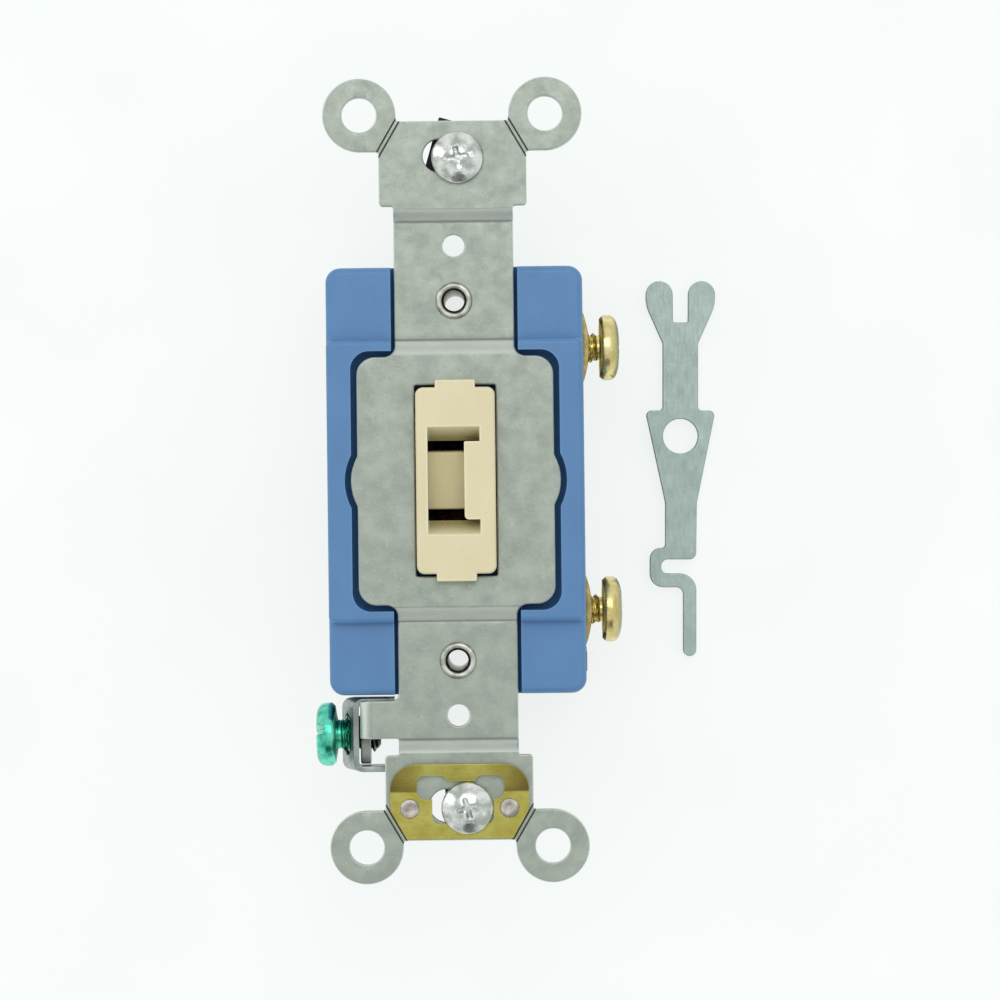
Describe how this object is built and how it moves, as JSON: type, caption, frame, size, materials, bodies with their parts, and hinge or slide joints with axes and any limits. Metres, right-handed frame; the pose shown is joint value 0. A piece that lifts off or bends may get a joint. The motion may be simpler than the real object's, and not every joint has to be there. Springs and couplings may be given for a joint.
{
  "type": "locking wall switch",
  "caption": "Key-operated side-wired wall switch on a steel mounting strap, with a self-grounding clip, captive screws and its flat forked key.",
  "frame": {"origin": "centre of the flat back of the switch body, which lies on the surface", "axes": "+Z out of the lock face, +Y to the top of the switch, +X to the side with the two brass terminal screws"},
  "size_m": [0.0529, 0.1034, 0.0307],
  "materials": {
    "strap_steel": "galvanised sheet, satin",
    "blue_thermoset": "moulded thermoset, semi-gloss",
    "black_thermoset": "moulded thermoset",
    "rivet_steel": "zinc plated",
    "ivory_plastic": "moulded, semi-gloss",
    "spring_steel": "drawn wire",
    "terminal_brass": "bright",
    "contact_copper": "rolled strip",
    "contact_silver": "silver alloy",
    "bumper_rubber": "matte",
    "green_screw": "green dyed plating",
    "clip_brass": "rolled strip",
    "bright_zinc": "bright zinc plate",
    "black_fibre": "vulcanised fibre",
    "key_steel": "stamped sheet"
  },
  "bodies": {
    "housing": {"strap": "strap_steel", "front_cover": "blue_thermoset", "back_body": "black_thermoset", "body_rivet_top": "rivet_steel", "body_rivet_bottom": "rivet_steel", "lock_face": "ivory_plastic", "line_terminal": "terminal_brass", "load_terminal": "terminal_brass", "fixed_contact": "contact_silver", "arm_bumper": "bumper_rubber", "ground_bracket": "strap_steel", "grounding_clip": "clip_brass", "clip_rivet_left": "rivet_steel", "clip_rivet_right": "rivet_steel"},
    "switch_lever": {"lever": "ivory_plastic", "lever_spring": "spring_steel", "plunger": "terminal_brass"},
    "rocker_arm": {"contact_arm": "contact_copper", "moving_contact": "contact_silver"},
    "line_screw": {"line_terminal_screw": "terminal_brass"},
    "load_screw": {"load_terminal_screw": "terminal_brass"},
    "green_screw": {"ground_screw": "green_screw"},
    "top_retainer": {"screw_retainer_top": "black_fibre"},
    "top_screw": {"mounting_screw_top": "bright_zinc"},
    "bottom_retainer": {"screw_retainer_bottom": "black_fibre"},
    "bottom_screw": {"mounting_screw_bottom": "bright_zinc"},
    "loose_key": {"key": "key_steel"}
  },
  "joints": [
    {"name": "lever_hinge", "type": "hinge", "parent": "housing", "child": "switch_lever", "pos_m": [0, 0, 0.0234], "axis": [1, 0, 0], "range_deg": [-16, 0]},
    {"name": "arm_hinge", "type": "hinge", "parent": "housing", "child": "rocker_arm", "pos_m": [0, 0, 0.0068], "axis": [1, 0, 0], "range_deg": [0, 12]},
    {"name": "line_screw_turn", "type": "hinge", "parent": "housing", "child": "line_screw", "pos_m": [0.01875, 0.0171, 0.015], "axis": [1, 0, 0], "continuous": true},
    {"name": "load_screw_turn", "type": "hinge", "parent": "housing", "child": "load_screw", "pos_m": [0.01875, -0.0169, 0.015], "axis": [1, 0, 0], "continuous": true},
    {"name": "green_screw_turn", "type": "hinge", "parent": "housing", "child": "green_screw", "pos_m": [-0.0159, -0.0326, 0.0205], "axis": [1, 0, 0], "continuous": true},
    {"name": "top_retainer_slide", "type": "slide", "parent": "housing", "child": "top_retainer", "axis": [1, 0, 0], "range_m": [-0.0023, 0.001]},
    {"name": "top_screw_turn", "type": "hinge", "parent": "top_retainer", "child": "top_screw", "pos_m": [0.00065, 0.04137, 0.0282], "axis": [0, 0, 1], "continuous": true},
    {"name": "bottom_retainer_slide", "type": "slide", "parent": "housing", "child": "bottom_retainer", "axis": [1, 0, 0], "range_m": [-0.0022, 0.0006]},
    {"name": "bottom_screw_turn", "type": "hinge", "parent": "bottom_retainer", "child": "bottom_screw", "pos_m": [0.001, -0.04197, 0.0288], "axis": [0, 0, 1], "continuous": true},
    {"name": "key_lift", "type": "slide", "parent": "housing", "child": "loose_key", "axis": [0, 0, 1], "range_m": [0, 0.04]}
  ],
  "couplings": [
    {"joint": "arm_hinge", "follows": "lever_hinge", "ratio": -0.75}
  ]
}
